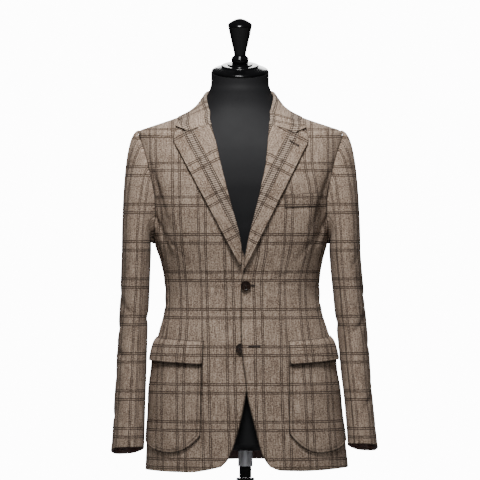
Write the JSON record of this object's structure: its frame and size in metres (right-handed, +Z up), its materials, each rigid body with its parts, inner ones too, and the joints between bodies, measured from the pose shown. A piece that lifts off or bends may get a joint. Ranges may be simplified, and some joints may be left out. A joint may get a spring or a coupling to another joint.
{
  "type": "blazer on dress form",
  "caption": "Single-breasted notch-lapel blazer with patch pockets in a windowpane check, fastened over a limbless dress form on a round-based stand.",
  "frame": {"origin": "middle of the stand base's underside, where it rests on the floor", "axes": "+Z up along the pole, -Y the front of the jacket, +X the wearer's left"},
  "size_m": [0.5338, 0.3, 1.0542],
  "materials": {
    "suiting": "brown flannel melange with a dark brown double windowpane check",
    "lining": "dark reddish-brown lining satin",
    "thread": "dark brown sewing silk",
    "horn": "polished dark brown horn",
    "form_cover": "charcoal skin of the dress form",
    "lacquer": "gloss black lacquer",
    "enamel": "gloss black enamel on steel",
    "steel": "brushed steel"
  },
  "bodies": {
    "root": {"front_left": "suiting", "front_right": "suiting", "side_left": "suiting", "side_right": "suiting", "back_left": "suiting", "back_right": "suiting", "top_sleeve_left": "suiting", "top_sleeve_right": "suiting", "under_sleeve_left": "suiting", "under_sleeve_right": "suiting", "lapel_left": "suiting", "lapel_right": "suiting", "collar": "suiting", "pocket_left": "suiting", "pocket_right": "suiting", "flap_left": "suiting", "flap_right": "suiting", "breast_welt": "suiting", "button_upper": "horn", "button_lower": "horn", "form_torso": "form_cover", "neck_cap": "lacquer", "finial": "lacquer", "ferrule": "steel", "upper_pole": "enamel", "hub": "enamel", "lower_pole": "enamel", "base": "enamel"}
  },
  "joints": []
}
